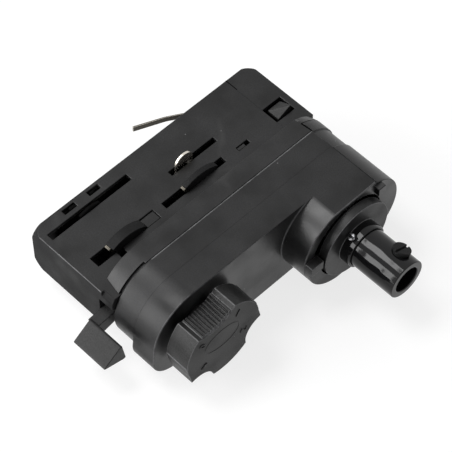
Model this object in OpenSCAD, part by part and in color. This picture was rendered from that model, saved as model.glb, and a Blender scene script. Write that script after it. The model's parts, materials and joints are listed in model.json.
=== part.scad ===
// Track light adapter: contact body, locking lever, selector knob and swivelling stem.
// +X towards the stem, +Z up into the track, -Y is the front; Z = 0 is the shoulder under the track.

/* [Contact body] */
// overall length of the body
body_l = 90; // [88:0.5:96]
// thickness of the contact body inside the track
upper_t = 17.4; // [17:0.1:18.4]
// height of the contact body above the shoulder
upper_h = 28.2; // [28:0.1:30]
// wall of the contact body
wall = 1.5; // [1.2:0.1:1.6]
// radius of the upper corners
corner_r = 4; // [2:0.5:5]
// length of the separate end cap
cap_l = 10; // [9.4:0.1:11]

/* [Lower body] */
// width of the lower body
lower_w = 30.8; // [30:0.2:33]
// height of the base plate
base_h = 7.1; // [6.8:0.1:8]
// height of the middle frame
mid_h = 8.3; // [7.5:0.1:9.5]
// height of the lower cover's bar
bar_h = 8.9; // [8:0.1:10]
// height of the boss below the bar
boss_h = 9.6; // [9:0.1:11]
// wall of the lower body
case_wall = 1.8; // [1.4:0.1:2]
// radius of the boss on the knob's side
boss_r = 15.7; // [15.5:0.1:17]
// distance of the boss's round side from the stem axis
boss_off = 3.1; // [2.6:0.1:4]
// radius of the rounded end cover
end_r = 14.9; // [14.4:0.1:15.2]
// depth of the guard below the boss
guard_h = 2; // [1.6:0.1:3]

/* [Selector] */
// distance of the selector shaft from the body's middle
selector_x = 27.5; // [26.5:0.1:28.5]
// radius of the selector shaft
shaft_r = 2.5; // [2:0.1:2.8]
// radius of the selector drum
drum_r = 6; // [5:0.1:6.5]
// radius of the knob
knob_r = 14.4; // [13.5:0.1:15]
// height of the knob's grip
knob_h = 8.7; // [7:0.1:10]
// turn of the knob in the off position
knob_turn = -11.7; // [-20:0.1:0]
// count of ribs in the knob's finger scoop
rib_n = 11; // [7:1:13]

/* [Lock] */
// distance of the second rotor from the body's middle
rotor_x = 3; // [2:0.1:3.6]
// reach of the locking cams
cam_r = 12; // [11:0.1:12.2]
// angle of the lever off the body's length
lever_turn = 9; // [7:0.5:10]
// reach of the lever's tip
lever_r = 29.9; // [29:0.1:32]
// height of the lever's paddle
paddle_h = 13.4; // [10:0.1:15]
// swing of the lever to the open position
lever_swing = 90; // [80:1:90]

/* [Contacts] */
// reach of the contact tongues from their shaft
tongue_r = 13.2; // [12.2:0.1:13.6]
// width of the contact tongues
tongue_w = 7; // [5:0.1:7.2]
// thickness of the contact tongues
tongue_t = 0.8; // [0.6:0.1:1]
// length of the earth spring
leaf_l = 20.5; // [16:0.5:22]
// rise of the earth spring above the contact body
leaf_rise = 11.4; // [8:0.1:12]
// width of the earth spring
leaf_w = 2.2; // [1.8:0.1:4]

/* [Stem] */
// distance of the stem axis from the body's middle
stem_x = 25.7; // [25.2:0.1:26.6]
// radius of the stem tube
stem_r = 6.7; // [6.2:0.1:7]
// radius of the stem's bore
bore_r = 4.5; // [3.5:0.1:4.6]
// length of the stem below the disc
stem_l = 20.3; // [16:0.1:40]
// distance of the swivel disc's edge from the body's side
disc_edge = 2; // [1.9:0.1:2.8]
// thickness of the swivel disc
disc_t = 3.1; // [2.7:0.1:3.3]
// radius of the stem's clamping screw
grub_r = 2.5; // [2:0.1:3]
// height of the clamping screw above the stem's end
grub_up = 5.5; // [4:0.1:8]

/* [Hidden] */
$fn = 64;
eps = 0.01;
run = 0.06;
seam = 0.05;
yu = upper_t/2;
yl = lower_w/2;
screw_y = yl - 4.8;
disc_r = yl - disc_edge;
x0 = -body_l/2;
x1 = body_l/2;
xcap = x1 - cap_l;
xs = -selector_x;
xr = rotor_x;
zb = -base_h;
zm = zb - mid_h;
zl = zm - bar_h;
zc = zl - boss_h;
zg = zc - guard_h;
xleft = x0 + yl;
xend = stem_x + 10.7;
xround = stem_x + 6.5;
xboss = stem_x - boss_off;
skin = 1.3;
lever_t = 4;
zlev = -skin - 0.3;
sleeve_r = 3.7;
pitch_r = 4.8;
teeth_n = 12;
tooth_p = 2*3.14159265*pitch_r/teeth_n;
disc_top = zc - 0.3;
disc_bot = disc_top - disc_t;
hub_r = stem_r + 0.8;
hub_bot = disc_bot - 4;
hub_a = -121;
hub_z = disc_bot - 1.4;
floor_t = 3;
floor_bot = zc + 3;
floor_top = floor_bot + floor_t;
neck_r = stem_r + 2.4;
stem_bot = disc_bot - stem_l;
knob_top = zl - 2;
knob_bot = knob_top - knob_h;
knob_neck = 7;
za0 = upper_h - 7.1;
za1 = upper_h - 4.6;
zbs0 = upper_h - 14.7;
zbs1 = upper_h - 12.9;
zcs0 = 4.8;
zcs1 = 8.6;
zds0 = 6;
zds1 = 8.3;
lobe_r = yu + 0.8;
carrier_z = upper_h - 3.8;
latch_z0 = upper_h - 3;
latch_z1 = upper_h - 1.2;
leaf_x = xcap - 8;
leaf_t = 0.5;
leaf_y = 0.5;
catch_x = xcap + 1.3;
catch_w = 5.3;
catch_z = 6.3;
catch_h = 4.8;
catch_out = 2.2;
stop_a = -90;
cut_a = 1.4*corner_r;
draft = 1.4;
foot_t = 1.25;
foot_l = 5;
foot_y = 3.8;
line_w = 0.8;
guard_step = 1.1;
back_r = 9.5;
back_x = x0 + 9;
back_y = 5.4;

// Box given by its two corners
module box(a, b) {
  translate(a) cube([b[0] - a[0], b[1] - a[1], b[2] - a[2]]);
}

// Ring or disc between two heights
module tube(r, h0, h1, hole = 0) {
  translate([0, 0, h0]) difference() {
    cylinder(r = r, h = h1 - h0);
    if (hole > 0) translate([0, 0, -1]) cylinder(r = hole, h = h1 - h0 + 2);
  }
}

// Flat pie with its tip on the axis
module pie(r, a0, a1) {
  am = (a0 + a1)/2;
  intersection() {
    circle(r = r);
    polygon([[0, 0], [2*r*cos(a0), 2*r*sin(a0)], [2*r*cos(am), 2*r*sin(am)], [2*r*cos(a1), 2*r*sin(a1)]]);
  }
}

// Contact body block, thinner by the inset on every wall
module upper_solid(inset, down) {
  box([x0 + inset, -yu + inset, -down], [x1 - inset, yu - inset, upper_h - inset]);
}

// What is taken off the two upper corners at one end of the contact body
module corner_cuts(s) {
  for (t = [-1, 1]) difference() {
    translate([s*(x1 - cut_a/2 + 1), t*(yu - cut_a/2 + 1), upper_h - cut_a/2 + 1]) cube(cut_a + 2, center = true);
    translate([s*(x1 - cut_a), t*(yu - cut_a), upper_h - cut_a]) sphere(r = 1.03*sqrt(2)*cut_a);
  }
}

// Slot through the front wall, and through the back wall when both is true
module slot(xa, xb, za, zz, both) {
  box([xa, -yu - 1, za], [xb, -yu + wall + 0.3, zz]);
  if (both) box([xa, yu - wall - 0.3, za], [xb, yu + 1, zz]);
}

// Foot of the upper shell at the lever's end, larger by the gap all round
module shell_foot(gap) {
  box([x0 - gap, -yu - gap, -foot_t - gap], [x0 + foot_l + gap, yu + gap, 0]);
  box([x0 - gap, -yu - gap, -2*foot_t - gap], [x0 + foot_l + gap, -foot_y + gap, 0]);
  intersection() {
    box([x0 - gap, -yu - gap, zb + 0.1 - 10*gap], [x0 + foot_l + gap, -foot_y + gap, -foot_t]);
    translate([xleft, 0, 0]) tube(yl + 1.3 + gap, zb - 3, 1);
  }
}

// Upper shell with contact slots and latch windows
module contact_housing() {
  color([0.1, 0.1, 0.1]) difference() {
    union() {
      intersection() {
        upper_solid(0, 0);
        box([x0 - 1, -yu - 1, 0], [xcap - seam, yu + 1, upper_h + 1]);
      }
      shell_foot(0);
    }
    intersection() {
      upper_solid(wall, 0);
      box([x0, -yu, 0], [xcap - wall, yu, upper_h]);
    }
    corner_cuts(-1);
    slot(xs - 15.2, xs + 16.4, za0, za1, true);
    slot(xr - 4.6, xr + 14.1, zbs0, zbs1, false);
    slot(xs - 11.9, xs + 13.1, zcs0, zcs1, true);
    slot(xs - 4.8, xs - 2.4, 0.6, zcs0 + 0.1, false);
    slot(xr - 14, xr + 10.7, zds0, zds1, true);
    slot(xr + 16.2, xr + 20.9, 6, 7.5, false);
    slot(xs + 3.3, xs + 7.8, latch_z0, latch_z1, false);
    slot(xs - 6.5, xs - 1.7, latch_z0, latch_z1, false);
  }
}

// End piece of the contact body with the window of the catch
module end_cap() {
  color([0.11, 0.11, 0.11]) {
    difference() {
      intersection() {
        upper_solid(0, 0);
        box([xcap, -yu - 1, 0], [x1 + 1, yu + 1, upper_h + 1]);
      }
      intersection() {
        upper_solid(wall, 0);
        box([xcap + 0.8, -yu, wall], [x1, yu, upper_h]);
      }
      corner_cuts(1);
      box([xcap - 1, -yu - 1, catch_z - 0.6], [catch_x + catch_w + 1, -yu + wall + 0.4, catch_z + catch_h + 1]);
    }
    difference() {
      box([xcap + 0.4, -1, catch_z - 1.5], [x1 - wall + 0.2, 1, catch_z + catch_h + 1.5]);
      box([catch_x + 1 - run, -2, catch_z + 1 - run], [catch_x + catch_w - 1 + run, 2, catch_z + catch_h - 1 + run]);
    }
  }
}

// Sprung wedge that holds the adapter behind the track's lip
module retaining_catch() {
  color([0.13, 0.13, 0.13]) {
    intersection() {
      translate([catch_x, 0, 0]) rotate([90, 0, 90]) linear_extrude(catch_w)
        polygon([[-yu + wall, catch_z], [-yu - catch_out, catch_z], [-yu + 0.3, catch_z + catch_h],
          [-yu + wall, catch_z + catch_h]]);
      translate([0, 0, catch_z - 1]) linear_extrude(catch_h + 2)
        polygon([[catch_x, -yu + wall], [catch_x, -yu + 0.3], [catch_x + catch_w, -yu - catch_out],
          [catch_x + catch_w, -yu + wall]]);
    }
    box([catch_x + 1, -yu + wall - eps, catch_z + 1], [catch_x + catch_w - 1, 3, catch_z + catch_h - 1]);
  }
}

// Upper bearing plate of both shafts, latched into the windows of the housing
module top_carrier() {
  color([0.16, 0.16, 0.16]) difference() {
    union() {
      box([xs - 9, -yu + wall + 0.1, carrier_z], [xr + 9, yu - wall - 0.1, upper_h - wall]);
      box([xs + 4, -yu + 0.3, latch_z0 + 0.3], [xs + 5.6, -yu + wall + 0.5, latch_z1 - 0.4]);
      box([xs - 4.2, -yu + 0.2, latch_z0 + 0.3], [xs - 1.9, -yu + wall + 0.5, latch_z1 - 0.4]);
    }
    translate([xs, 0, 0]) tube(shaft_r + run, carrier_z - 1, upper_h);
    translate([xr, 0, 0]) tube(shaft_r + run, carrier_z - 1, upper_h);
  }
}

// Earth leaf rising from the top of the contact body
module earth_spring() {
  s = leaf_l/20.5;
  k = leaf_rise/11.4;
  zf = upper_h + 0.05;
  color([0.72, 0.68, 0.6]) translate([0, leaf_y + leaf_w/2, 0]) rotate([90, 0, 0]) linear_extrude(leaf_w)
    polygon([[leaf_x, zf], [leaf_x - 0.2, zf + leaf_t], [leaf_x - 6*s, zf + leaf_t + 4.4*k],
      [leaf_x - 11*s, zf + leaf_t + 7.3*k], [leaf_x - leaf_l, zf + leaf_t + leaf_rise],
      [leaf_x - leaf_l - 0.2, zf + leaf_rise], [leaf_x - 11*s + 0.2, zf + 7.2*k],
      [leaf_x - 6*s + 0.3, zf + 4.2*k]]);
}

// Foot of the earth leaf on the contact body
module earth_foot() {
  color([0.72, 0.68, 0.6]) difference() {
    box([leaf_x + 0.1, leaf_y - 1.9, upper_h], [leaf_x + 6.4, leaf_y + 1.9, upper_h + leaf_t]);
    translate([leaf_x + 3.6, leaf_y, 0]) tube(0.8 + run, upper_h - 1, upper_h + 2);
  }
}

// Rivet that holds the earth leaf
module spring_rivet() {
  color([0.7, 0.66, 0.58]) translate([leaf_x + 3.6, leaf_y, 0]) {
    tube(0.8, upper_h + leaf_t - 0.5, upper_h + leaf_t);
    tube(1.4, upper_h + leaf_t, upper_h + leaf_t + 0.7);
  }
}

// Outline of the lower body up to the end cover
module case_outline(inset) {
  translate([xleft, 0]) circle(r = yl - inset);
  translate([xleft, -yl + inset]) square([xend - xleft, lower_w - 2*inset]);
}

// Cone that the swinging lever needs in the base plate
module lever_sweep(r, margin) {
  pie(r, 180 - lever_turn - lever_swing - 16 - margin, 180 - lever_turn + 23 + margin);
}

// Shoulder plate with drafted sides that carries the contact body and the lever's hub
module base_plate() {
  yb = yl - 0.2;
  yt = yl - draft;
  color([0.1, 0.1, 0.1]) union() {
    difference() {
      union() {
        intersection() {
          translate([xleft, 0, zb]) cylinder(r1 = yb, r2 = yt, h = base_h);
          box([x0 - 5, -20, zb - 1], [xleft, 20, 1]);
        }
        translate([xleft, 0, 0]) rotate([90, 0, 90]) linear_extrude(xend - xleft)
          polygon([[-yb, zb], [yb, zb], [yt, 0], [-yt, 0]]);
        intersection() {
          translate([xround, 0, 0]) union() {
            translate([0, 0, -2.5]) cylinder(r1 = end_r, r2 = end_r - 0.5, h = 2.5);
            tube(end_r - 2.3, zb, -2.4);
          }
          box([xend - 0.5, -yt, zb - 1], [x1 + 20, yt, 1]);
        }
      }
      translate([xs, 0, 0]) tube(sleeve_r + run, -10, 1);
      translate([xs, 0, 0]) tube(8.6, -10, -skin);
      translate([xs, 0, -10]) linear_extrude(10 - skin) lever_sweep(24, 0);
      translate([xr, 0, 0]) tube(shaft_r + run, -10, 1);
      for (x = [xr - 15, xr + 21], s = [-1, 1]) translate([x, s*screw_y, 0]) tube(1.5, -10, -2.2);
      shell_foot(0.1);
      intersection() {
        translate([xleft, 0, 0]) tube(yl + 5, zb - 1, zb + line_w, yb - 1);
        box([x0 - 5, -20, zb - 2], [xleft - 2, 20, 0]);
      }
    }
    latch_post(xs + 7.9, xs + 12.9, zcs0 + 0.2, zcs1 - 0.3);
    latch_post(xr + 16.4, xr + 19.2, 6.2, 7.3);
  }
}

// Post inside the contact body with a lug in one of its front windows
module latch_post(xa, xb, za, zz) {
  yi = -yu + wall + 0.1;
  box([xa, yi, -0.1], [xb, yi + 1.2, zz]);
  box([xa, -yu + 0.3, za], [xb, yi + 0.5, zz]);
}

// Frame between base plate and lower cover
module middle_frame() {
  zt = zb - seam;
  color([0.1, 0.1, 0.1]) difference() {
    union() {
      translate([0, 0, zm]) linear_extrude(mid_h - seam) case_outline(0);
      translate([xs, 0, 0]) tube(6, zt - 0.5, zlev - lever_t - run);
    }
    translate([0, 0, zm - 1]) linear_extrude(mid_h - seam - 0.2) case_outline(case_wall);
    box([xend - case_wall - 1, -yl + case_wall, zm - 1], [xend + 1, yl - case_wall, zt - 1.2]);
    translate([xs, 0, 0]) tube(shaft_r + run, zm - 1, 1);
    for (x = [xr - 15, xr + 21], s = [-1, 1]) translate([x, s*screw_y, 0]) tube(1.55, zm - 1, 1);
  }
}

// Boss outline up to the end cover
module boss_outline(inset) {
  intersection() {
    union() {
      translate([xboss, 0]) circle(r = boss_r - inset);
      translate([xboss, -yl]) square([xend - xboss, lower_w]);
    }
    translate([xboss - 30, -yl + inset]) square([30 + xend - xboss, lower_w - 2*inset]);
  }
}

// Open well of the swivel disc
module disc_well() {
  translate([stem_x, 0]) circle(r = disc_r + 0.5);
  translate([xboss, 0]) circle(r = boss_r - 3.8);
}

// Fuller back corner of the lower cover
module back_corner(inset) {
  translate([back_x, back_y]) circle(r = back_r - inset);
}

// Filling between the back corner and the rest of the lower cover
module back_fill() {
  polygon([[back_x - back_r, back_y], [x0 + 0.02, 0], [xleft + 2, 0], [xleft + 2, yl - 0.02],
    [xleft, yl - 0.02], [back_x, back_y + back_r], [back_x, back_y]]);
}

// Lower cover: bar with the knob's hole and boss with the stem's bearing
module lower_cover() {
  zt = zm - seam;
  color([0.1, 0.1, 0.1]) union() {
    difference() {
      union() {
        translate([0, 0, zl]) linear_extrude(bar_h - seam) case_outline(0);
        translate([0, 0, zl]) linear_extrude(bar_h - seam) back_corner(0);
        translate([0, 0, zl]) linear_extrude(bar_h - seam) back_fill();
        translate([0, 0, zc]) linear_extrude(boss_h + 0.5) boss_outline(0);
      }
      translate([0, 0, zl + case_wall]) linear_extrude(bar_h) case_outline(case_wall);
      translate([0, 0, zl + case_wall]) linear_extrude(bar_h) back_corner(case_wall);
      box([xend - case_wall - 1, -yl + case_wall, zl + case_wall], [xend + 1, yl - case_wall, zt + 1]);
      translate([0, 0, floor_top]) linear_extrude(zl + case_wall - floor_top + 0.5) boss_outline(2.4);
      translate([0, 0, zc - 1]) linear_extrude(floor_bot - zc + 1) disc_well();
      translate([stem_x, 0, 0]) tube(neck_r + run, zc - 1, zl + 5);
      translate([xs, 0, 0]) tube(knob_neck + run, zl - 1, zl + 5);
    }
    translate([stem_x, 0, floor_bot - 2.7]) linear_extrude(2.8) stop_lug(stop_a + 180);
  }
}

// Lug of the swivel's end stop around the angle a
module stop_lug(a) {
  difference() {
    pie(disc_r - 0.6, a - 6, a + 6);
    circle(r = disc_r - 2.6);
  }
}

// Rounded cover over the end of the lower body
module end_cover() {
  x = xend + seam;
  color([0.11, 0.11, 0.11]) difference() {
    union() {
      intersection() {
        union() {
          translate([xround, 0, 0]) tube(end_r, zb, -2.6, end_r - 2.2);
          translate([xround, 0, 0]) tube(end_r - 0.4, zm - 0.1, zb + 0.1, end_r - 2.2);
          translate([xround, 0, 0]) tube(end_r, zc + 0.3, zm, end_r - 2.2);
          translate([xround, 0, 0]) tube(end_r - 2, zc + 0.3, floor_top);
        }
        box([x, -20, -60], [x1 + 20, 20, 0]);
      }
      box([x, -yl + 2.9, zc - 1.5], [x + 3, -yl + 5.9, zc + 0.4]);
    }
    translate([stem_x, 0, 0]) tube(disc_r + 0.5, zc - 3, floor_bot);
    for (t = [0, 1]) mirror([0, t, 0]) box([xend - 1, -20, zc + 0.5], [xend + line_w, -yl + 2.3, 0]);
  }
}

// Outline of the guard from its front end backwards
module guard_outline(depth) {
  difference() {
    intersection() {
      boss_outline(0);
      translate([xboss - 30, -2.3]) square([80, depth]);
    }
    translate([stem_x, 0]) circle(r = disc_r + 0.5);
  }
}

// Skirt that guards the swivel disc at the back, with a block at its front end
module swivel_guard() {
  color([0.1, 0.1, 0.1]) union() {
    translate([0, 0, zg]) linear_extrude(guard_h) guard_outline(40);
    translate([0, 0, zg - guard_step]) linear_extrude(guard_h + guard_step) guard_outline(3.5);
  }
}

// Screws from the frame into the base plate
module base_screws() {
  color([0.5, 0.5, 0.5]) for (x = [xr - 15, xr + 21], s = [-1, 1]) translate([x, s*screw_y, 0]) difference() {
    union() {
      tube(1.45, zb - seam - 1.3, -2.4);
      tube(2.7, zb - seam - 2.8, zb - seam - 1.25);
    }
    box([-1.9, -0.3, zb - seam - 3], [1.9, 0.3, zb - seam - 2.1]);
    box([-0.3, -1.9, zb - seam - 3], [0.3, 1.9, zb - seam - 2.1]);
  }
}

// Wiring terminals inside the lower body
module terminal_block() {
  zt = zb - seam - 1.25;
  color([0.75, 0.74, 0.7]) difference() {
    box([xr - 9, -7, zt - 5.6], [xr + 11, 7, zt]);
    for (x = [-6.5, -1.5, 3.5, 8.5]) {
      translate([xr + x, 3.2, 0]) tube(1.35, zt - 7, zt - 2.4);
      box([xr + x - 1.2, -8, zt - 4.6], [xr + x + 1.2, -3, zt - 2]);
    }
  }
}

// Clamping screws of the terminals
module terminal_screws() {
  zt = zb - seam - 1.25;
  color([0.72, 0.6, 0.35]) for (x = [-6.5, -1.5, 3.5, 8.5]) translate([xr + x, 3.2, 0]) difference() {
    tube(1.3, zt - 5.3, zt - 2.4);
    box([-2, -0.25, zt - 6], [2, 0.25, zt - 4.7]);
  }
}

// Outline of the knob with one ribbed and two plain finger scoops
module knob_outline() {
  difference() {
    union() {
      circle(r = knob_r);
      translate([-knob_r + 0.1, -3]) square([2*knob_r - 0.2, 8.9]);
    }
    translate([0, -knob_r - 7.4]) circle(r = 12);
    for (s = [-1, 1]) translate([s*(knob_r - 0.9), knob_r - 1.9]) circle(r = 6.7);
  }
}

// Circuit selector knob
module selector_knob() {
  color([0.14, 0.14, 0.14]) difference() {
    translate([xs, 0, 0]) rotate([0, 0, knob_turn]) {
      translate([0, 0, knob_bot]) linear_extrude(knob_h) knob_outline();
      for (i = [0 : rib_n - 1]) {
        a = 90 + (i - (rib_n - 1)/2)*54/(rib_n - 1);
        translate([12*cos(a), -knob_r - 7.4 + 12*sin(a), knob_bot + 0.5]) cylinder(r = 0.5, h = knob_h - 0.5, $fn = 24);
      }
      tube(knob_neck, knob_top - 0.1, zl + case_wall + 0.1);
      tube(knob_neck + 1.2, zl + case_wall + 0.1, zl + case_wall + 1.3);
    }
    translate([xs, 0, 0]) tube(shaft_r + 0.02, knob_bot + 3, 0);
  }
}

// Shaft between knob and drum
module selector_shaft() {
  color([0.6, 0.6, 0.6]) translate([xs, 0, 0]) tube(shaft_r, knob_bot + 3, 9);
}

// Drum on the selector shaft with its switching lobe
module selector_drum() {
  zt = za1 - 0.3;
  color([0.08, 0.08, 0.08]) translate([xs, 0, 0]) {
    tube(drum_r, 9, zt - tongue_t);
    tube(3, zt - tongue_t - 0.1, zt + 0.1);
    tube(drum_r, zt, carrier_z - 0.1);
    tube(shaft_r, carrier_z - 0.2, upper_h - wall - 0.4);
    translate([0, 0, za0 + 0.2]) linear_extrude(1.1) pie(lobe_r, -115, -65);
  }
}

// Rounded contact tongue along X with a ring at its root
module tongue(off) {
  difference() {
    union() {
      circle(r = 5);
      translate([0, off - tongue_w/2]) square([tongue_r - tongue_w/2, tongue_w]);
      translate([tongue_r - tongue_w/2, off]) circle(r = tongue_w/2);
    }
    circle(r = 3 + 0.03);
  }
}

// Phase contact that turns with the selector
module phase_contact() {
  zt = za1 - 0.3;
  color([0.72, 0.68, 0.6]) translate([xs, 0, zt - tongue_t]) linear_extrude(tongue_t) tongue(0);
}

// Pinion with a gap facing the angle a
module pinion(a) {
  h = 360/teeth_n;
  circle(r = pitch_r - 0.95);
  for (i = [0 : teeth_n - 1]) rotate([0, 0, a + h/2 + i*h])
    polygon([[pitch_r - 1.3, -0.75], [pitch_r, -0.52], [pitch_r + 0.7, -0.28], [pitch_r + 0.7, 0.28],
      [pitch_r, 0.52], [pitch_r - 1.3, 0.75]]);
}

// Locking lever with hub, sleeve and pinion
module lock_lever() {
  color([0.14, 0.14, 0.14]) translate([xs, 0, 0]) difference() {
    union() {
      tube(8, zlev - lever_t, zlev);
      tube(sleeve_r, zlev - 0.1, 8.9);
      translate([0, 0, 0.2]) linear_extrude(3.8) pinion(90);
      rotate([0, 0, 180 - lever_turn]) {
        translate([0, 0, zlev - lever_t]) linear_extrude(lever_t)
          polygon([[4, -1.9], [8.6, -1.9], [lever_r - 7.4, -2.7], [lever_r - 7.4, 2.7], [8.6, 1.9], [4, 1.9]]);
        translate([0, 0, -2.5 - paddle_h]) linear_extrude(paddle_h)
          polygon([[lever_r - 8, -3.5], [lever_r - 7.2, -3.7], [lever_r - 0.7, -0.5], [lever_r, 0],
            [lever_r - 0.7, 0.5], [lever_r - 7.2, 3.7], [lever_r - 8, 3.5]]);
      }
    }
    tube(shaft_r + run, -20, 20);
  }
}

// Cam lobes at both sides of a shaft, with a hole for it
module cam_plate(hole) {
  difference() {
    union() {
      circle(r = 6);
      pie(cam_r, -119, -52);
      pie(cam_r, 72, 135);
    }
    circle(r = hole);
  }
}

// Locking cam on the lever's sleeve
module lock_cam() {
  color([0.12, 0.12, 0.12]) translate([xs, 0, zcs0 + 0.2]) linear_extrude(zcs1 - zcs0 - 0.4)
    cam_plate(sleeve_r + 0.03);
}

// Metal nose at the front end of a cam
module cam_nose(z0, z1) {
  translate([0, 0, z0]) linear_extrude(z1 - z0) difference() {
    pie(cam_r - 0.2, -124, -119.3);
    circle(r = cam_r - 4);
  }
}

// Metal nose of the locking cam
module cam_tip() {
  color([0.8, 0.74, 0.62]) translate([xs, 0, 0]) cam_nose(zcs0 + 1.3, zcs1 - 0.4);
}

// Second rotor with pinion, locking cam and contact drum
module second_rotor() {
  zt = zbs0 + 0.6;
  color([0.12, 0.12, 0.12]) translate([xr, 0, 0]) {
    tube(shaft_r, -base_h + 0.4, 0.3);
    translate([0, 0, 0.2]) linear_extrude(3.8) pinion(-90);
    tube(3.7, 3.9, zds0 + 0.2);
    translate([0, 0, zds0 + 0.15]) linear_extrude(zds1 - zds0 - 0.3) cam_plate(0.5);
    tube(5.5, zds1 - 0.3, zt);
    tube(3, zt - 0.1, zt + tongue_t + 0.1);
    tube(5.5, zt + tongue_t, carrier_z - 0.1);
    tube(shaft_r, carrier_z - 0.2, upper_h - wall - 0.4);
  }
}

// Metal nose of the second rotor's cam
module rotor_tip() {
  color([0.8, 0.74, 0.62]) translate([xr, 0, 0]) cam_nose(zds0 + 0.3, zds1 - 0.3);
}

// Neutral contact on the second rotor
module neutral_contact() {
  color([0.74, 0.72, 0.68]) translate([xr, 0, zbs0 + 0.6]) linear_extrude(tongue_t)
    rotate([0, 0, -90]) tongue(1.1);
}

// Row of rack teeth that point towards -Y, from x = a, n teeth
module rack_teeth(a, n) {
  for (i = [0 : n - 1]) translate([a + i*tooth_p, 0])
    polygon([[-0.95, 1], [-0.5, 0], [-0.28, -0.6], [0.28, -0.6], [0.5, 0], [0.95, 1]]);
}

// Rack that turns the second rotor against the lever
module drive_rack() {
  h = 3.6;
  back = yu - wall - 0.1;
  color([0.5, 0.5, 0.5]) translate([0, 0, 0.05]) union() {
    translate([xs, pitch_r, 0]) linear_extrude(h) rack_teeth(-4*tooth_p, 6);
    translate([xr, -pitch_r, 0]) rotate([0, 0, 180]) linear_extrude(h) rack_teeth(-tooth_p, 6);
    linear_extrude(h) polygon([[xs - 4.5*tooth_p, pitch_r + 0.9], [xs + 1.5*tooth_p - 2, pitch_r + 0.9],
      [xr - 4.5*tooth_p, -back], [xr + 1.5*tooth_p, -back], [xr + 1.5*tooth_p, -pitch_r - 0.9],
      [xr - 4.5*tooth_p + 2, -pitch_r - 0.9], [xs + 1.5*tooth_p, back], [xs - 4.5*tooth_p, back]]);
  }
}

// Swivel disc with hub, bearing neck and stop lug
module swivel_disc() {
  color([0.12, 0.12, 0.12]) translate([stem_x, 0, 0]) difference() {
    union() {
      tube(disc_r, disc_bot, disc_top);
      tube(hub_r, hub_bot, disc_bot + 0.1);
      tube(neck_r, disc_top - 0.1, floor_top + 2.4);
      translate([0, 0, disc_top - 0.1]) linear_extrude(3) stop_lug(stop_a);
    }
    tube(stem_r + 0.02, hub_bot - 1, floor_top + 4);
    tube(neck_r + 1, floor_top + 0.1, floor_top + 1.4, neck_r - 1);
    translate([0, 0, hub_z]) rotate([0, 0, hub_a]) rotate([0, 90, 0]) cylinder(r = 0.82, h = 20);
  }
}

// Stem tube that takes the lamp's arm
module stem_tube() {
  color([0.08, 0.08, 0.08]) translate([stem_x, 0, 0]) difference() {
    tube(stem_r, stem_bot, floor_top + 2.4, bore_r);
    translate([0, 0, stem_bot + grub_up]) rotate([0, 0, -65]) rotate([0, 90, 0]) cylinder(r = grub_r + 0.03, h = 20);
  }
}

// Ring that keeps the disc's neck in the boss
module stem_ring() {
  color([0.55, 0.55, 0.55]) translate([stem_x, 0, 0]) tube(neck_r + 1.4, floor_top + 0.15, floor_top + 1.35, neck_r - 0.95);
}

// Small screw in the hub at the root of the stem
module hub_screw() {
  color([0.75, 0.73, 0.7]) translate([stem_x, 0, hub_z]) rotate([0, 0, hub_a]) rotate([0, 90, 0])
    difference() {
      union() {
        translate([0, 0, stem_r + 0.2]) cylinder(r = 0.8, h = hub_r - stem_r);
        translate([0, 0, hub_r + 0.05]) cylinder(r = 1.2, h = 1.4);
      }
      translate([-3, -0.25, hub_r + 0.75]) cube([6, 0.5, 2]);
    }
}

// Clamping screw for the lamp's arm
module clamp_screw() {
  color([0.1, 0.1, 0.1]) translate([stem_x, 0, stem_bot + grub_up]) rotate([0, 0, -65]) rotate([0, 90, 0])
    difference() {
      union() {
        translate([0, 0, bore_r + 0.3]) cylinder(r = grub_r, h = stem_r - bore_r);
        translate([0, 0, stem_r + 0.2]) cylinder(r = grub_r + 0.4, h = 1.2);
      }
      translate([-0.35, -5, stem_r + 0.6]) cube([0.7, 10, 2]);
    }
}

contact_housing();
end_cap();
retaining_catch();
top_carrier();
earth_spring();
earth_foot();
spring_rivet();
base_plate();
middle_frame();
lower_cover();
end_cover();
swivel_guard();
base_screws();
terminal_block();
terminal_screws();
selector_knob();
selector_shaft();
selector_drum();
phase_contact();
lock_lever();
lock_cam();
cam_tip();
second_rotor();
rotor_tip();
neutral_contact();
drive_rack();
swivel_disc();
stem_tube();
stem_ring();
hub_screw();
clamp_screw();
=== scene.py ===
"""Finishes the track light adapter: softened mouldings, plated contacts, lacquered stem and a plain stage."""

import json
import math

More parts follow.
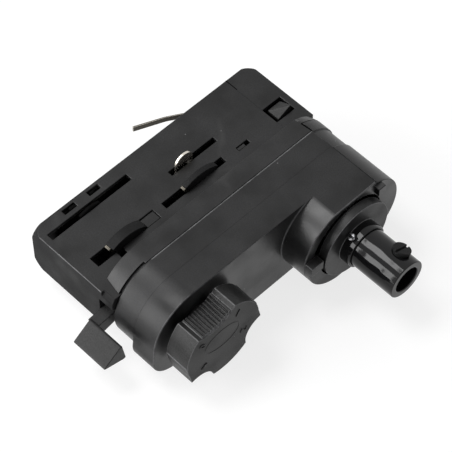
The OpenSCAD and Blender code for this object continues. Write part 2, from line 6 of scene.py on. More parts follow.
import bpy
from bpy.props import FloatProperty, FloatVectorProperty, PointerProperty
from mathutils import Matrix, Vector

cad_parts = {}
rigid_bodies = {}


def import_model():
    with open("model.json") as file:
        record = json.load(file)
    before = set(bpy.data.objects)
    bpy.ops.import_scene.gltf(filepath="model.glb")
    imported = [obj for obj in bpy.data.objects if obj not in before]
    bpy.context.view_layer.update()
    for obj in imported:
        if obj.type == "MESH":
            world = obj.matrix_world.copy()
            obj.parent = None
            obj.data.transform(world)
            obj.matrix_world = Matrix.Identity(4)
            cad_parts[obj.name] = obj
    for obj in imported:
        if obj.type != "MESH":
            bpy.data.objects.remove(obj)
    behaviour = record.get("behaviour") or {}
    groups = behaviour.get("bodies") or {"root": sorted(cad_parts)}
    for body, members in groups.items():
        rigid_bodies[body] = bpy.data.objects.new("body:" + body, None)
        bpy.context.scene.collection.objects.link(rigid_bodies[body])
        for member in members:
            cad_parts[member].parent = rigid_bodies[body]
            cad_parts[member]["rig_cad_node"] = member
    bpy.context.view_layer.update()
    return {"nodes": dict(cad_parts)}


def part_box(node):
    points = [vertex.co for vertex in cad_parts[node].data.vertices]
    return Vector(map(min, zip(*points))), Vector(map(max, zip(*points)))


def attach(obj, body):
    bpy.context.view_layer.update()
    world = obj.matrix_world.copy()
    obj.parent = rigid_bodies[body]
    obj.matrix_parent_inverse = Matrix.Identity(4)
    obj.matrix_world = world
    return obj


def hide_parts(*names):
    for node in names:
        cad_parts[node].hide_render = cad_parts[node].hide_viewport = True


bl_info = {
    "name": "Track Light Adapter",
    "version": (1, 0, 0),
    "blender": (4, 5, 0),
    "location": "View3D > Sidebar > Adapter",
    "description": "Finishes the track light adapter around its packed frame",
    "category": "Object",
}

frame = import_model()
MM = 0.001
KNOB_AXIS = (-27.5 * MM, 0, 0)
KNOB_NUMBERS = (
    ("0", -142, 10.6 * MM),
    ("1", -57, 10.4 * MM),
    ("2", 17, 8.4 * MM),
    ("3", 147, 9.2 * MM),
)
OVAL_RADIUS = 6.8 * MM
OVAL_PLACE = Vector((-0.6 * MM, -2.6 * MM, 0))
OVAL_SQUEEZE = 0.6
MARK_BEVEL = 0.05 * MM
MERGE_DISTANCE = 0.002 * MM
FLAT_ANGLE = math.radians(0.3)
SHARP_ANGLE = math.radians(28)
SMOOTH_ANGLE = math.radians(40)
FACING_Y = 0.98

# Name, texture, its scale, colour, roughness, bump depth and specular level
PLASTICS = (
    ("moulded black", "grain", 2400, "case_black", 0.42, 0.03 * MM, 0.3),
    ("polished boss", "grain", 2400, "case_black", 0.4, 0.02 * MM, 0.56),
    # Painted shade black: a near-black colour that paints the shade on inner pieces seen through the slots
    ("painted shade black", "grain", 1500, "painted_shade_black", 0.9, 0.02 * MM, 0.05),
    # The glinting edge finishes carry painted highlight: they mix in the edge glint colour in patches.
    ("glinting moulded edge", "grain", 2400, "case_black", 0.42, 0.02 * MM, 0.3),
    ("textured grip", "grain", 2400, "grip_black", 0.42, 0.04 * MM, 0.2),
    ("glinting grip edge", "grain", 2400, "grip_black", 0.4, 0.02 * MM, 0.3),
    ("eroded black", "grain", 2600, "case_black", 0.65, 0.04 * MM, 0.15),
    ("black lacquer", "waves", 150, "lacquer_black", 0.07, 0.6 * MM, 0.25),
    ("terminal plastic", "grain", 1500, "terminal_grey", 0.5, 0.02 * MM, 0.5),
)

# Name, scale of the rolling marks, colour and roughness
METALS = (
    ("nickel plating", 1500, "plating", 0.26),
    ("tarnished bronze", 1500, "bronze", 0.48),
    ("blackened steel", 1200, "blackened", 0.22),
    ("bright steel", 1200, "steel", 0.3),
)
ROLLED_DEPTH = 0.01 * MM

# Finish, mask, its scale and colour
MARKS = (
    ("moulded black", "scuffs", 26, "scuff"),
    ("moulded black", "dust", 240, "dust"),
    ("polished boss", "dust", 240, "dust"),
    # Edge glint: painted highlight mixed into the edge finishes in patches.
    ("glinting moulded edge", "glint", 420, "edge_glint"),
    ("textured grip", "dust", 260, "grip_dust"),
    ("glinting grip edge", "glint", 380, "edge_glint"),
    ("eroded black", "dust", 240, "dust"),
)

# Name, direction, distance, size and power
SOFTBOXES = (
    ("overhead softbox", (-0.15, -0.875, 0.459), 1.98, (0.95, 0.7), 18),
    ("left softbox", (-0.742, -0.255, 0.620), 1.95, (1.43, 1.43), 47),
    ("rear softbox", (0.40, 0.78, 0.48), 2.0, (1.4, 1.4), 60),
)
ROOM_LEVEL = 0.35
TABLE_SIZE = 4
TABLE_GAP = 0.1 * MM
TABLE_GREY = 0.3
TABLE_GLOW = 0.76
CAMERA_PLACE = (-0.261135, -0.542071, -0.276161)
CAMERA_TURN = (124.86481, 44.37627, 0.14880)
CAMERA_LENS = 175.668
CAMERA_SENSOR = 36
CAMERA_NEAR = 0.01

materials = {}


class AdapterSizes(bpy.types.PropertyGroup):
    """Sizes of the finish"""

    case_edge: FloatProperty(
        name="Case edge", description="Rounding of the case's edges", default=0.35 * MM, unit="LENGTH"
    )
    fine_edge: FloatProperty(
        name="Fine edge", description="Rounding of small mouldings", default=0.22 * MM, unit="LENGTH"
    )
    metal_edge: FloatProperty(
        name="Metal edge", description="Rounding of stamped metal", default=0.1 * MM, unit="LENGTH"
    )
    ledge_edge: FloatProperty(
        name="Ledge edge", description="Rounding of the parting edge", default=0.595 * MM, unit="LENGTH"
    )
    mark_height: FloatProperty(
        name="Mark height", description="Height of the knob's marks", default=0.2 * MM, unit="LENGTH"
    )
    mark_size: FloatProperty(
        name="Mark size", description="Size of the numbers on the knob", default=3.6 * MM, unit="LENGTH"
    )
    hub_height: FloatProperty(
        name="Hub height", description="Hub below the swivel disc", default=4.0 * MM, unit="LENGTH"
    )
    boss_height: FloatProperty(
        name="Boss height", description="Height of the boss below the bar", default=9.6 * MM, unit="LENGTH"
    )
    # Seam width and open seam set the size of the strip of painted shade along the end cap's seam.
    seam_width: FloatProperty(
        name="Seam width", description="Width of the end cap's open seam", default=0.3 * MM, unit="LENGTH"
    )
    seam_length: FloatProperty(
        name="Open seam", description="Open length of the end cap's seam", default=5.0 * MM, unit="LENGTH"
    )
    corner_cut: FloatProperty(
        name="Corner", description="Reach of the contact body's upper corner", default=5.6 * MM, unit="LENGTH"
    )


class AdapterColours(bpy.types.PropertyGroup):
    """Colours of the finish"""

    case_black: FloatVectorProperty(
        name="Case", description="Moulded case", default=(0.008, 0.008, 0.0083), subtype="COLOR"
    )
    grip_black: FloatVectorProperty(
        name="Grip", description="Knob and lever", default=(0.016, 0.016, 0.016), subtype="COLOR"
    )
    lacquer_black: FloatVectorProperty(
        name="Lacquer", description="Stem tube", default=(0.006, 0.006, 0.0065), subtype="COLOR"
    )
    # Painted shade: colour of the inner pieces and of the strip in the end cap's seam
    painted_shade_black: FloatVectorProperty(
        name="Painted shade black", description="Unlit inner mouldings", default=(0.002, 0.002, 0.002), subtype="COLOR"
    )
    blackened: FloatVectorProperty(
        name="Blackened", description="Screw beside the stem", default=(0.28, 0.28, 0.29), subtype="COLOR"
    )
    plating: FloatVectorProperty(
        name="Plating", description="Plated contacts", default=(0.70, 0.66, 0.59), subtype="COLOR"
    )
    steel: FloatVectorProperty(
        name="Steel", description="Screws and shafts", default=(0.56, 0.56, 0.57), subtype="COLOR"
    )
    bronze: FloatVectorProperty(
        name="Bronze", description="Tarnished earth leaf", default=(0.09, 0.083, 0.07), subtype="COLOR"
    )
    # Edge glint: painted highlight on the rounded edges.
    edge_glint: FloatVectorProperty(
        name="Edge glint", description="Painted highlight on edges", default=(0.11, 0.11, 0.113), subtype="COLOR"
    )
    scuff: FloatVectorProperty(
        name="Scuff", description="Scuffs on the case", default=(0.03, 0.03, 0.03), subtype="COLOR"
    )
    dust: FloatVectorProperty(
        name="Dust", description="Specks on the case", default=(0.12, 0.12, 0.12), subtype="COLOR"
    )
    grip_dust: FloatVectorProperty(
        name="Grip dust", description="Specks on knob and lever", default=(0.2, 0.2, 0.2), subtype="COLOR"
    )
    terminal_grey: FloatVectorProperty(
        name="Terminal", description="Terminal block", default=(0.62, 0.61, 0.57), subtype="COLOR"
    )


def sizes():
    return bpy.context.scene.adapter_sizes


def colours():
    return bpy.context.scene.adapter_colours


# Shader groups


def new_group(name, inputs, outputs):
    """An empty shader group with named sockets, and its two end nodes."""
    group = bpy.data.node_groups.new(name, "ShaderNodeTree")
    for socket, kind in inputs:
        group.interface.new_socket(socket, in_out="INPUT", socket_type=kind)
    for socket, kind in outputs:
        group.interface.new_socket(socket, in_out="OUTPUT", socket_type=kind)
    start = group.nodes.new("NodeGroupInput")
    end = group.nodes.new("NodeGroupOutput")
    return group, start, end


def ranged(group, value, low, high):
    """A node that maps 0..1 to low..high."""
    node = group.nodes.new("ShaderNodeMapRange")
    node.inputs["To Min"].default_value = low
    node.inputs["To Max"].default_value = high
    group.links.new(value, node.inputs["Value"])
    return node


def grain_group():
    """Fine spark texture of moulded plastic: a tone, a roughness share and a height."""
    group, start, end = new_group(
        "Moulded grain",
        [("Vector", "NodeSocketVector"), ("Scale", "NodeSocketFloat")],
        [("Tone", "NodeSocketFloat"), ("Gloss", "NodeSocketFloat"), ("Height", "NodeSocketFloat")],
    )
    fine = group.nodes.new("ShaderNodeTexNoise")
    fine.inputs["Detail"].default_value = 3
    fine.inputs["Roughness"].default_value = 0.6
    group.links.new(start.outputs["Vector"], fine.inputs["Vector"])
    group.links.new(start.outputs["Scale"], fine.inputs["Scale"])
    broad = group.nodes.new("ShaderNodeTexNoise")
    broad.inputs["Scale"].default_value = 90
    broad.inputs["Detail"].default_value = 4
    group.links.new(start.outputs["Vector"], broad.inputs["Vector"])
    mottle = ranged(group, broad.outputs["Fac"], 0.4, 1.6)
    speckle = ranged(group, fine.outputs["Fac"], 0.4, 1.6)
    gloss = ranged(group, broad.outputs["Fac"], 0.75, 1.25)
    for node in (mottle, speckle, gloss):
        node.inputs["From Min"].default_value = 0.3
        node.inputs["From Max"].default_value = 0.7
    tone = group.nodes.new("ShaderNodeMath")
    tone.operation = "MULTIPLY"
    group.links.new(mottle.outputs["Result"], tone.inputs[0])
    group.links.new(speckle.outputs["Result"], tone.inputs[1])
    group.links.new(tone.outputs["Value"], end.inputs["Tone"])
    group.links.new(gloss.outputs["Result"], end.inputs["Gloss"])
    group.links.new(fine.outputs["Fac"], end.inputs["Height"])
    return group


def scuff_group():
    """Few faint curved scuffs: a mask."""
    group, start, end = new_group(
        "Scuffs",
        [("Vector", "NodeSocketVector"), ("Scale", "NodeSocketFloat")],
        [("Mask", "NodeSocketFloat")],
    )
    drift = group.nodes.new("ShaderNodeTexNoise")
    drift.inputs["Scale"].default_value = 60
    drift.inputs["Detail"].default_value = 2
    group.links.new(start.outputs["Vector"], drift.inputs["Vector"])
    shift = group.nodes.new("ShaderNodeVectorMath")
    shift.operation = "MULTIPLY_ADD"
    shift.inputs[1].default_value = (0.005, 0.005, 0.005)
    group.links.new(drift.outputs["Color"], shift.inputs[0])
    group.links.new(start.outputs["Vector"], shift.inputs[2])
    lines = group.nodes.new("ShaderNodeTexVoronoi")
    lines.feature = "DISTANCE_TO_EDGE"
    group.links.new(shift.outputs["Vector"], lines.inputs["Vector"])
    group.links.new(start.outputs["Scale"], lines.inputs["Scale"])
    thin = ranged(group, lines.outputs["Distance"], 1, 0)
    thin.inputs["From Max"].default_value = 0.03
    patches = group.nodes.new("ShaderNodeTexNoise")
    patches.inputs["Scale"].default_value = 45
    patches.inputs["Detail"].default_value = 3
    group.links.new(start.outputs["Vector"], patches.inputs["Vector"])
    some = ranged(group, patches.outputs["Fac"], 0, 0.6)
    some.inputs["From Min"].default_value = 0.5
    some.inputs["From Max"].default_value = 0.65
    mask = group.nodes.new("ShaderNodeMath")
    mask.operation = "MULTIPLY"
    group.links.new(thin.outputs["Result"], mask.inputs[0])
    group.links.new(some.outputs["Result"], mask.inputs[1])
    group.links.new(mask.outputs["Value"], end.inputs["Mask"])
    return group


def dust_group():
    """Sparse pale specks: a mask."""
    group, start, end = new_group(
        "Dust specks",
        [("Vector", "NodeSocketVector"), ("Scale", "NodeSocketFloat")],
        [("Mask", "NodeSocketFloat")],
    )
    cells = group.nodes.new("ShaderNodeTexVoronoi")
    group.links.new(start.outputs["Vector"], cells.inputs["Vector"])
    group.links.new(start.outputs["Scale"], cells.inputs["Scale"])
    speck = group.nodes.new("ShaderNodeMath")
    speck.operation = "LESS_THAN"
    speck.inputs[1].default_value = 0.05
    group.links.new(cells.outputs["Distance"], speck.inputs[0])
    few = group.nodes.new("ShaderNodeSeparateColor")
    group.links.new(cells.outputs["Color"], few.inputs["Color"])
    chosen = group.nodes.new("ShaderNodeMath")
    chosen.operation = "GREATER_THAN"
    chosen.inputs[1].default_value = 0.8
    group.links.new(few.outputs["Red"], chosen.inputs[0])
    mask = group.nodes.new("ShaderNodeMath")
    mask.operation = "MULTIPLY"
    group.links.new(speck.outputs["Value"], mask.inputs[0])
    group.links.new(chosen.outputs["Value"], mask.inputs[1])
    group.links.new(mask.outputs["Value"], end.inputs["Mask"])
    return group


def glint_group():
    """Patchy painted highlight along an edge: a mask."""
    group, start, end = new_group(
        "Painted highlight on edge",
        [("Vector", "NodeSocketVector"), ("Scale", "NodeSocketFloat")],
        [("Mask", "NodeSocketFloat")],
    )
    patches = group.nodes.new("ShaderNodeTexNoise")
    patches.inputs["Detail"].default_value = 6
    patches.inputs["Roughness"].default_value = 0.65
    group.links.new(start.outputs["Vector"], patches.inputs["Vector"])
    group.links.new(start.outputs["Scale"], patches.inputs["Scale"])
    mask = ranged(group, patches.outputs["Fac"], 0, 1)
    mask.inputs["From Min"].default_value = 0.2
    mask.inputs["From Max"].default_value = 0.6
    group.links.new(mask.outputs["Result"], end.inputs["Mask"])
    return group


def wave_group():
    """Slow waves of sprayed lacquer: a tone, a roughness share and a height."""
    group, start, end = new_group(
        "Lacquer waves",
        [("Vector", "NodeSocketVector"), ("Scale", "NodeSocketFloat")],
        [("Tone", "NodeSocketFloat"), ("Gloss", "NodeSocketFloat"), ("Height", "NodeSocketFloat")],
    )
    waves = group.nodes.new("ShaderNodeTexNoise")
    waves.inputs["Detail"].default_value = 0.6
    group.links.new(start.outputs["Vector"], waves.inputs["Vector"])
    group.links.new(start.outputs["Scale"], waves.inputs["Scale"])
    haze = group.nodes.new("ShaderNodeTexNoise")
    haze.inputs["Scale"].default_value = 700
    haze.inputs["Detail"].default_value = 5
    group.links.new(start.outputs["Vector"], haze.inputs["Vector"])
    tone = ranged(group, haze.outputs["Fac"], 0.6, 1.4)
    gloss = ranged(group, haze.outputs["Fac"], 0.7, 1.3)
    group.links.new(tone.outputs["Result"], end.inputs["Tone"])
    group.links.new(gloss.outputs["Result"], end.inputs["Gloss"])
    group.links.new(waves.outputs["Fac"], end.inputs["Height"])
    return group


def brush_group():
    """Rolling marks of sheet metal: a tone, a roughness share and a height."""
    group, start, end = new_group(
        "Rolled metal",
        [("Vector", "NodeSocketVector"), ("Scale", "NodeSocketFloat")],
        [("Tone", "NodeSocketFloat"), ("Gloss", "NodeSocketFloat"), ("Height", "NodeSocketFloat")],
    )
    stretch = group.nodes.new("ShaderNodeMapping")
    stretch.inputs["Scale"].default_value = (0.15, 1, 1)
    group.links.new(start.outputs["Vector"], stretch.inputs["Vector"])
    lines = group.nodes.new("ShaderNodeTexNoise")
    lines.inputs["Detail"].default_value = 5
    group.links.new(stretch.outputs["Vector"], lines.inputs["Vector"])
    group.links.new(start.outputs["Scale"], lines.inputs["Scale"])
    tone = ranged(group, lines.outputs["Fac"], 0.75, 1.15)
    gloss = ranged(group, lines.outputs["Fac"], 0.7, 1.4)
    group.links.new(tone.outputs["Result"], end.inputs["Tone"])
    group.links.new(gloss.outputs["Result"], end.inputs["Gloss"])
    group.links.new(lines.outputs["Fac"], end.inputs["Height"])
    return group


# Materials


def new_finish(name, group, scale, colour, roughness, depth):
    """A material whose base colour, roughness and bump follow a shader group. Returns its shader."""
    material = bpy.data.materials.new(name)
    material.use_nodes = True
    tree = material.node_tree
    shader = tree.nodes["Principled BSDF"]
    place = tree.nodes.new("ShaderNodeTexCoord")
    surface = tree.nodes.new("ShaderNodeGroup")
    surface.node_tree = group
    surface.inputs["Scale"].default_value = scale
    tree.links.new(place.outputs["Object"], surface.inputs["Vector"])
    tint = tree.nodes.new("ShaderNodeMix")
    tint.data_type = "RGBA"
    tint.blend_type = "MULTIPLY"
    tint.inputs["Factor"].default_value = 1
    tint.inputs["A"].default_value = (*colour, 1)
    tree.links.new(surface.outputs["Tone"], tint.inputs["B"])
    tree.links.new(tint.outputs["Result"], shader.inputs["Base Color"])
    rough = tree.nodes.new("ShaderNodeMath")
    rough.operation = "MULTIPLY"
    rough.inputs[1].default_value = roughness
    tree.links.new(surface.outputs["Gloss"], rough.inputs[0])
    tree.links.new(rough.outputs["Value"], shader.inputs["Roughness"])
    bump = tree.nodes.new("ShaderNodeBump")
    bump.inputs["Strength"].default_value = 0.5
    bump.inputs["Distance"].default_value = depth
    tree.links.new(surface.outputs["Height"], bump.inputs["Height"])
    tree.links.new(bump.outputs["Normal"], shader.inputs["Normal"])
    materials[name] = material
    return shader


def add_marks(name, group, scale, colour):
    """Mixes a second colour into a finish where a shader group's mask says so."""
    tree = materials[name].node_tree
    base = tree.nodes["Principled BSDF"].inputs["Base Color"]
    below = base.links[0].from_socket
    place = tree.nodes["Texture Coordinate"]
    marks = tree.nodes.new("ShaderNodeGroup")
    marks.node_tree = group
    marks.inputs["Scale"].default_value = scale
    tree.links.new(place.outputs["Object"], marks.inputs["Vector"])
    mixed = tree.nodes.new("ShaderNodeMix")
    mixed.data_type = "RGBA"
    mixed.inputs["B"].default_value = (*colour, 1)
    tree.links.new(marks.outputs["Mask"], mixed.inputs["Factor"])
    tree.links.new(below, mixed.inputs["A"])
    tree.links.new(mixed.outputs["Result"], base)


def paint(obj, *names):
    """Gives an object its finishes."""
    obj.data.materials.clear()
    for name in names:
        obj.data.materials.append(materials[name])


# Modelling


def deselect():
    bpy.ops.object.select_all(action="DESELECT")


def applied(piece, modifier):
    """Applies a modifier to a piece."""
    deselect()
    piece.select_set(True)
    bpy.context.view_layer.objects.active = piece
    bpy.ops.object.modifier_apply(modifier=modifier.name)


def inside(point, low, high):
    return all(a <= c <= b for a, c, b in zip(low, point, high))


def repaint(piece, name, low, high, only=None, flat=True):
    """Gives another finish to faces in a box, to those of one finish only or to none that look along Y."""
    piece.data.materials.append(materials[name])
    index = len(piece.data.materials) - 1
    for face in piece.data.polygons:
        if not flat and abs(face.normal.y) > FACING_Y:
            continue
        if inside(face.center, low, high) and only in (None, face.material_index):
            face.material_index = index


def merged(piece):
    """Merges double points and flat faces of a piece."""
    deselect()
    piece.select_set(True)
    bpy.context.view_layer.objects.active = piece
    bpy.ops.object.mode_set(mode="EDIT")
    bpy.ops.mesh.select_all(action="SELECT")
    bpy.ops.mesh.remove_doubles(threshold=MERGE_DISTANCE)
    bpy.ops.mesh.dissolve_limited(angle_limit=FLAT_ANGLE)
    bpy.ops.object.mode_set(mode="OBJECT")


def split_at(piece, point, normal):
    """Cuts the faces of a piece along a plane."""
    bpy.ops.object.mode_set(mode="EDIT")
    bpy.ops.mesh.select_all(action="SELECT")
    bpy.ops.mesh.bisect(plane_co=point, plane_no=normal)
    bpy.ops.object.mode_set(mode="OBJECT")


def keep_in(piece, low, high):
    """Keeps the points of a piece inside a box."""
    for vertex in piece.data.vertices:
        vertex.co = [min(max(a, c), b) for a, c, b in zip(low, vertex.co, high)]


def mark_edges(piece, crisp):
    """Gives the sharp edges outside the crisp boxes their bevel weight."""
    bpy.ops.object.mode_set(mode="EDIT")
    bpy.ops.mesh.select_mode(type="EDGE")
    bpy.ops.mesh.select_all(action="DESELECT")
    bpy.ops.mesh.edges_select_sharp(sharpness=SHARP_ANGLE)
    bpy.ops.object.mode_set(mode="OBJECT")
    points = piece.data.vertices
    weight = piece.data.attributes.new("bevel_weight_edge", "FLOAT", "EDGE")
    for edge in piece.data.edges:
        middle = (points[edge.vertices[0]].co + points[edge.vertices[1]].co) / 2
        if edge.select and not any(inside(middle, *box) for box in crisp):
            weight.data[edge.index].value = 1


def softened(node, width, finish, segments=3, rim=None, crisp=(), splits=()):
    """A copy of a CAD node with rounded edges, which stands for it. The rim is the finish of the edges."""
    source = frame["nodes"][node]
    deselect()
    source.select_set(True)
    bpy.context.view_layer.objects.active = source
    bpy.ops.object.duplicate()
    piece = bpy.context.active_object
    piece.name = node + "_soft"
    del piece["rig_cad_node"]
    merged(piece)
    for point, normal in splits:
        split_at(piece, point, normal)
    mark_edges(piece, crisp)
    paint(piece, finish, rim or finish)
    edges = piece.modifiers.new("Edges", "BEVEL")
    edges.material = 1
    edges.width = width
    edges.segments = segments
    edges.limit_method = "WEIGHT"
    edges.use_clamp_overlap = False
    applied(piece, edges)
    keep_in(piece, *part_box(node))
    bpy.ops.object.shade_smooth_by_angle(angle=SMOOTH_ANGLE)
    normals = piece.modifiers.new("Normals", "WEIGHTED_NORMAL")
    normals.keep_sharp = True
    applied(piece, normals)
    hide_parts(node)
    return piece


# Operators


class ADAPTER_OT_finishes(bpy.types.Operator):
    """Make the procedural finishes"""

    bl_idname = "adapter.finishes"
    bl_label = "Finishes"

    def execute(self, context):
        tones = colours()
        textures = {"grain": grain_group(), "waves": wave_group()}
        masks = {"scuffs": scuff_group(), "dust": dust_group(), "glint": glint_group()}
        rolled = brush_group()
        for name, texture, scale, tone, roughness, depth, specular in PLASTICS:
            shader = new_finish(name, textures[texture], scale, getattr(tones, tone), roughness, depth)
            shader.inputs["Specular IOR Level"].default_value = specular
        for name, scale, tone, roughness in METALS:
            shader = new_finish(name, rolled, scale, getattr(tones, tone), roughness, ROLLED_DEPTH)
            shader.inputs["Metallic"].default_value = 1
        for name, mask, scale, tone in MARKS:
            add_marks(name, masks[mask], scale, getattr(tones, tone))
        return {"FINISHED"}


class ADAPTER_OT_case(bpy.types.Operator):
    """Soften the mouldings of the case"""

    bl_idname = "adapter.case"
    bl_label = "Case"

    def execute(self, context):
        size = sizes()
        edge, fine, thin = size.case_edge, size.fine_edge, size.metal_edge
        reach = Vector((1, 1, 1))
        softened("retaining_catch", fine, "textured grip")
        # The top carrier, seen through the slots, is painted shade black.
        softened("top_carrier", fine, "painted shade black")

        low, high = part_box("contact_housing")
        seam = (Vector((high.x - fine, -1, -1)), Vector((high.x + 2 * fine, 1, 1)))
        shell = softened("contact_housing", fine, "moulded black", crisp=[seam])
        repaint(shell, "eroded black", low - reach * thin, Vector((low.x + thin, high.y, high.z)), only=0)
        corner = Vector((low.x, low.y + thin, high.z - size.corner_cut))
        repaint(shell, "eroded black", corner, Vector((low.x + size.corner_cut, high.y - thin, high.z)))
        repaint(shell, "eroded black", low - reach * thin, Vector((1, 1, -thin)))
        front_edge = Vector((low.x + 2 * fine, low.y + 2 * fine, high.z - size.seam_length))
        # The housing's front edge, below the open seam, gets painted highlight.
        repaint(shell, "glinting moulded edge", Vector((*(low - reach).xy, 0)), front_edge, only=1)

        low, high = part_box("end_cap")
        # Corner of the strip of painted shade at the top of the end cap's seam; the cuts give the strip its
        # own faces.
        shade_strip_corner = Vector((low.x + size.seam_width, low.y, high.z - size.seam_length))
        cap = softened(
            "end_cap",
            fine,
            "moulded black",
            crisp=[seam],
            splits=[(shade_strip_corner, (1, 0, 0)), (shade_strip_corner, (0, 0, 1))],
        )
        # Painted shade in the open seam: the strip is painted shade black.
        repaint(cap, "painted shade black", Vector((low.x - fine, -1, shade_strip_corner.z)), Vector((shade_strip_corner.x, shade_strip_corner.y + fine, 1)))

        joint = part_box("middle_frame")[1].x
        rim_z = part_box("lower_cover")[0].z
        beside = (Vector((joint - fine, -1, rim_z + 2 * fine)), Vector((joint + 5 * fine, 1, 1)))
        seat_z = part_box("lower_cover")[1].z
        seat = (Vector((-1, -1, seat_z - fine)), Vector((1, 1, seat_z + fine)))
        softened("base_plate", thin, "moulded black", crisp=[beside])
        ledge = size.ledge_edge
        ring = softened("middle_frame", ledge, "moulded black", crisp=[beside, seat])
        low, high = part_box("middle_frame")
        # The middle frame's rounded edges, away from its left end, get painted highlight.
        repaint(ring, "glinting moulded edge", Vector((low.x + high.y, -1, -1)), reach, only=1)
        # The lower cover's rounded edges carry painted highlight.
        cover = softened(
            "lower_cover", edge, "moulded black", rim="glinting moulded edge", crisp=[beside, seat]
        )
        bar_z = rim_z + size.boss_height + edge
        repaint(cover, "polished boss", -reach, Vector((1, 1, bar_z)), only=0, flat=False)
        lid = softened("end_cover", fine, "moulded black", crisp=[beside])
        repaint(lid, "polished boss", -reach, Vector((1, 1, rim_z + 2 * edge)), only=0)
        # The swivel guard's rounded edges carry painted highlight.
        softened("swivel_guard", fine, "moulded black", rim="glinting moulded edge")
        return {"FINISHED"}


class ADAPTER_OT_controls(bpy.types.Operator):
    """Soften the knob, the lever and the rotors they turn"""

    bl_idname = "adapter.controls"
    bl_label = "Controls"

    def execute(self, context):
        fine = sizes().fine_edge
        # The knob's rounded edges carry painted highlight.
        softened("selector_knob", fine, "textured grip", rim="glinting grip edge")
        softened("lock_lever", fine, "textured grip")
        for node in ("lock_cam", "second_rotor"):
            softened(node, fine, "eroded black", segments=2)
        # The selector drum, seen in a slot, is painted shade black.
        softened("selector_drum", fine, "painted shade black", segments=2)
        return {"FINISHED"}


class ADAPTER_OT_marks(bpy.types.Operator):
    """Raise plain numbers and an oval line on the knob's face"""

    bl_idname = "adapter.marks"
    bl_label = "Knob marks"

    def execute(self, context):
        height, size = sizes().mark_height, sizes().mark_size
        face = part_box("selector_knob")[0].z
        axis = Vector(KNOB_AXIS)
        middle = axis + OVAL_PLACE
        pieces = []
        for number, angle, radius in KNOB_NUMBERS:
            turn = math.radians(angle)
            spot = axis + Vector((math.cos(turn), math.sin(turn), 0)) * radius
            deselect()
            bpy.ops.object.text_add(
                location=(spot.x, spot.y, face - 0.4 * height), rotation=(math.pi, 0, turn + math.pi / 2)
            )
            mark = context.active_object
            mark.data.body = number
            mark.data.size = size
            mark.data.extrude = 0.5 * height
            mark.data.bevel_depth = MARK_BEVEL
            mark.data.align_x = "CENTER"
            mark.data.align_y = "CENTER"
            bpy.ops.object.convert(target="MESH")
            bpy.ops.object.transform_apply(location=True, rotation=True, scale=True)
            pieces.append(context.active_object)
        deselect()
        bpy.ops.mesh.primitive_torus_add(
            major_radius=OVAL_RADIUS,
            minor_radius=0.45 * height,
            major_segments=96,
            minor_segments=12,
            location=(middle.x, middle.y, face),
        )
        bpy.ops.transform.resize(value=(1, OVAL_SQUEEZE, 1))
        bpy.ops.object.transform_apply(location=True, rotation=True, scale=True)
        pieces.append(context.active_object)
        deselect()
        for piece in pieces:
            piece.select_set(True)
        bpy.ops.object.join()
        marks = context.active_object
        marks.name = "knob_marks"
        paint(marks, "textured grip")
        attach(marks, "selector")
        return {"FINISHED"}


class ADAPTER_OT_contacts(bpy.types.Operator):
    """Soften the stamped contacts"""

    bl_idname = "adapter.contacts"
    bl_label = "Contacts"

    def execute(self, context):
        edge = sizes().metal_edge
        softened("earth_spring", edge, "tarnished bronze", segments=2, rim="nickel plating")
        softened("earth_foot", edge, "tarnished bronze", segments=2)
        softened("spring_rivet", edge, "blackened steel", segments=2)
        for node in ("phase_contact", "neutral_contact"):
            softened(node, edge, "nickel plating", segments=2)
        for node in ("cam_tip", "rotor_tip"):
            softened(node, 2 * edge, "tarnished bronze", segments=3)
        return {"FINISHED"}


class ADAPTER_OT_stem(bpy.types.Operator):
    """Soften the stem, its disc and screws"""

    bl_idname = "adapter.stem"
    bl_label = "Stem"

    def execute(self, context):
        edge, fine = sizes().case_edge, sizes().fine_edge
        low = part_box("swivel_disc")[0]
        # The disc's rounded edges carry painted highlight.
        disc = softened("swivel_disc", fine, "moulded black", rim="glinting moulded edge")
        hub = Vector((1, 1, low.z + sizes().hub_height - 2 * fine))
        repaint(disc, "black lacquer", Vector((-1, -1, -1)), hub)
        softened("stem_tube", edge, "black lacquer")
        softened("clamp_screw", fine, "eroded black")
        softened("hub_screw", fine, "blackened steel")
        return {"FINISHED"}


class ADAPTER_OT_inner(bpy.types.Operator):
    """Give the hidden pieces their finish"""

    bl_idname = "adapter.inner"
    bl_label = "Inner pieces"

    def execute(self, context):
        finish = {
            "base_screws": "bright steel",
            "terminal_block": "terminal plastic",
            "terminal_screws": "nickel plating",
            "selector_shaft": "bright steel",
            "drive_rack": "moulded black",
            "stem_ring": "bright steel",
        }
        for node, name in finish.items():
            paint(frame["nodes"][node], name)
        return {"FINISHED"}


# Stage


def light_path_share(tree):
    """1 for camera, glossy and transmission rays."""
    path = tree.nodes.new("ShaderNodeLightPath")
    first = tree.nodes.new("ShaderNodeMath")
    first.operation = "MAXIMUM"
    tree.links.new(path.outputs["Is Camera Ray"], first.inputs[0])
    tree.links.new(path.outputs["Is Glossy Ray"], first.inputs[1])
    second = tree.nodes.new("ShaderNodeMath")
    second.operation = "MAXIMUM"
    tree.links.new(first.outputs["Value"], second.inputs[0])
    tree.links.new(path.outputs["Is Transmission Ray"], second.inputs[1])
    return second.outputs["Value"]


def white_world(level):
    """A white world that lights the object at the given level."""
    world = bpy.data.worlds.new("white room")
    world.use_nodes = True
    bpy.context.scene.world = world
    tree = world.node_tree
    background = tree.nodes["Background"]
    background.inputs["Color"].default_value = (1, 1, 1, 1)
    strength = tree.nodes.new("ShaderNodeMapRange")
    strength.inputs["To Min"].default_value = level
    strength.inputs["To Max"].default_value = 1
    tree.links.new(light_path_share(tree), strength.inputs["Value"])
    tree.links.new(strength.outputs["Result"], background.inputs["Strength"])


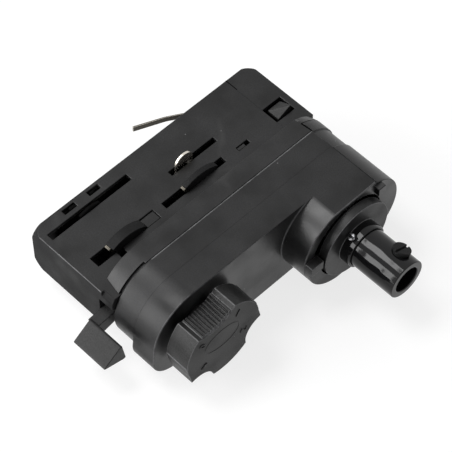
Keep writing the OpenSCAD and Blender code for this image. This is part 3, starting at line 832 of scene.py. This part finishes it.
def table_finish():
    """White table that keeps a soft shadow and can be looked through from behind."""
    material = bpy.data.materials.new("white table")
    material.use_nodes = True
    tree = material.node_tree
    tree.nodes.remove(tree.nodes["Principled BSDF"])
    output = tree.nodes["Material Output"]
    matte = tree.nodes.new("ShaderNodeBsdfDiffuse")
    matte.inputs["Color"].default_value = (TABLE_GREY, TABLE_GREY, TABLE_GREY, 1)
    glow = tree.nodes.new("ShaderNodeEmission")
    level = tree.nodes.new("ShaderNodeMath")
    level.operation = "MULTIPLY"
    level.inputs[1].default_value = TABLE_GLOW
    tree.links.new(light_path_share(tree), level.inputs[0])
    tree.links.new(level.outputs["Value"], glow.inputs["Strength"])
    both = tree.nodes.new("ShaderNodeAddShader")
    tree.links.new(matte.outputs["BSDF"], both.inputs[0])
    tree.links.new(glow.outputs["Emission"], both.inputs[1])
    clear = tree.nodes.new("ShaderNodeBsdfTransparent")
    side = tree.nodes.new("ShaderNodeNewGeometry")
    sides = tree.nodes.new("ShaderNodeMixShader")
    tree.links.new(side.outputs["Backfacing"], sides.inputs["Fac"])
    tree.links.new(both.outputs["Shader"], sides.inputs[1])
    tree.links.new(clear.outputs["BSDF"], sides.inputs[2])
    tree.links.new(sides.outputs["Shader"], output.inputs["Surface"])
    return material


def softbox(name, direction, distance, size, power):
    """A rectangular lamp that looks at the middle of the part."""
    deselect()
    back = Vector(direction).normalized()
    bpy.ops.object.light_add(type="AREA", location=back * distance)
    lamp = bpy.context.active_object
    lamp.name = name
    lamp.rotation_mode = "QUATERNION"
    lamp.rotation_quaternion = back.to_track_quat("Z", "Y")
    lamp.data.shape = "RECTANGLE"
    lamp.data.size, lamp.data.size_y = size
    lamp.data.energy = power


class ADAPTER_OT_stage(bpy.types.Operator):
    """Set up the table, the lamps and the camera"""

    bl_idname = "adapter.stage"
    bl_label = "Stage"

    def execute(self, context):
        scene = context.scene
        scene.view_settings.view_transform = "Standard"
        white_world(ROOM_LEVEL)
        deselect()
        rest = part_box("lower_cover")[1].y + TABLE_GAP
        bpy.ops.mesh.primitive_plane_add(size=TABLE_SIZE, location=(0, rest, 0), rotation=(math.pi / 2, 0, 0))
        table = context.active_object
        table.name = "table"
        table.data.materials.append(table_finish())
        table.visible_shadow = False
        for softbox_facts in SOFTBOXES:
            softbox(*softbox_facts)
        deselect()
        bpy.ops.object.camera_add(location=CAMERA_PLACE)
        camera = context.active_object
        camera.rotation_mode = "XYZ"
        camera.rotation_euler = [math.radians(angle) for angle in CAMERA_TURN]
        camera.data.sensor_width = CAMERA_SENSOR
        camera.data.lens = CAMERA_LENS
        camera.data.clip_start = CAMERA_NEAR
        scene.camera = camera
        return {"FINISHED"}


class ADAPTER_PT_panel(bpy.types.Panel):
    """Steps of the finish"""

    bl_label = "Track Light Adapter"
    bl_idname = "ADAPTER_PT_panel"
    bl_space_type = "VIEW_3D"
    bl_region_type = "UI"
    bl_category = "Adapter"

    def draw(self, context):
        for step in STEPS:
            self.layout.operator(step.bl_idname)
        for group in (sizes(), colours()):
            for name in group.__annotations__:
                self.layout.prop(group, name)


STEPS = (
    ADAPTER_OT_finishes,
    ADAPTER_OT_case,
    ADAPTER_OT_controls,
    ADAPTER_OT_marks,
    ADAPTER_OT_contacts,
    ADAPTER_OT_stem,
    ADAPTER_OT_inner,
    ADAPTER_OT_stage,
)
CLASSES = (AdapterSizes, AdapterColours, *STEPS, ADAPTER_PT_panel)


def register():
    for cls in CLASSES:
        bpy.utils.register_class(cls)
    bpy.types.Scene.adapter_sizes = PointerProperty(type=AdapterSizes)
    bpy.types.Scene.adapter_colours = PointerProperty(type=AdapterColours)


def unregister():
    del bpy.types.Scene.adapter_sizes
    del bpy.types.Scene.adapter_colours
    for cls in reversed(CLASSES):
        bpy.utils.unregister_class(cls)


def main():
    register()
    bpy.ops.adapter.finishes()
    bpy.ops.adapter.case()
    bpy.ops.adapter.controls()
    bpy.ops.adapter.marks()
    bpy.ops.adapter.contacts()
    bpy.ops.adapter.stem()
    bpy.ops.adapter.inner()
    bpy.ops.adapter.stage()


if __name__ == "__main__":
    main()
